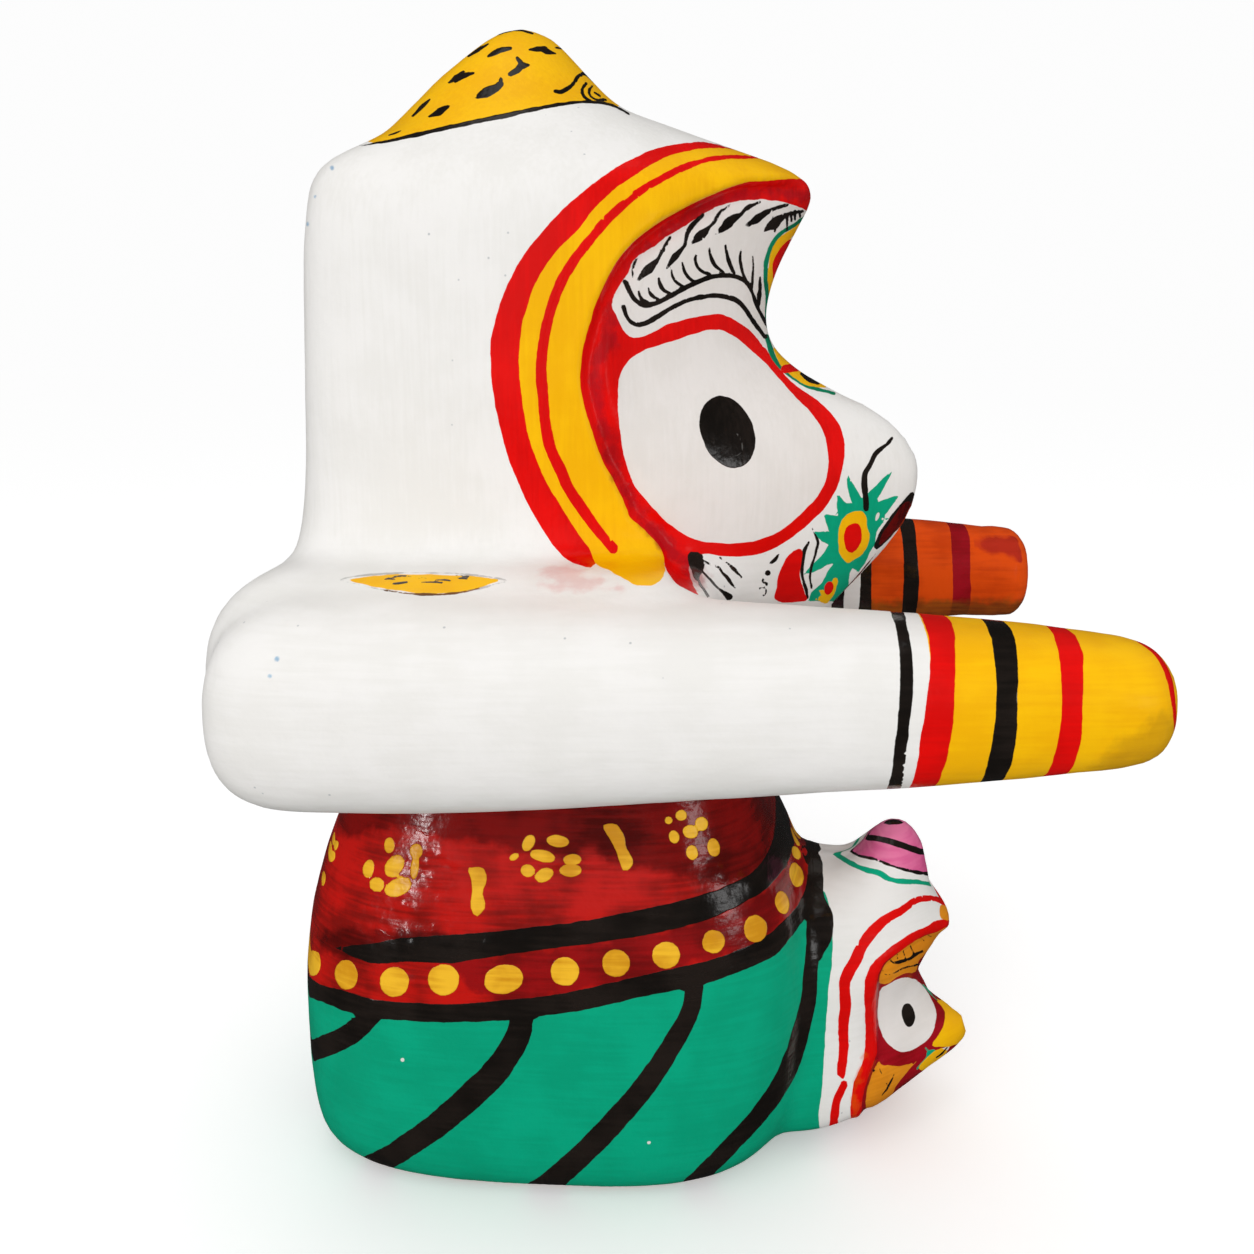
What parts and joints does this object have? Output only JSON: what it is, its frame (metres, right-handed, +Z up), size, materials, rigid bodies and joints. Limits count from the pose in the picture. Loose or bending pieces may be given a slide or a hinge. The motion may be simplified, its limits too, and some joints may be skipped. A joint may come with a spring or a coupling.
{
  "type": "jagannath figure",
  "caption": "Painted carved wooden temple figure with a capped round-eyed head, two straight forward arms, a pot-shaped body and a smaller face carved on its front.",
  "frame": {"origin": "on the plane the figure stands on, in its middle plane, within the flat underside and under the middle of the body", "axes": "+Z up; the figure faces -Y; its left hand is towards +X and its right hand towards -X"},
  "size_m": [0.1886, 0.2154, 0.2998],
  "materials": {
    "painted_wood": "solid wood under brushed glossy paint: white ground with red, yellow, orange, green, pink and black"
  },
  "bodies": {
    "root": {"carved_figure": "painted_wood"}
  },
  "joints": []
}
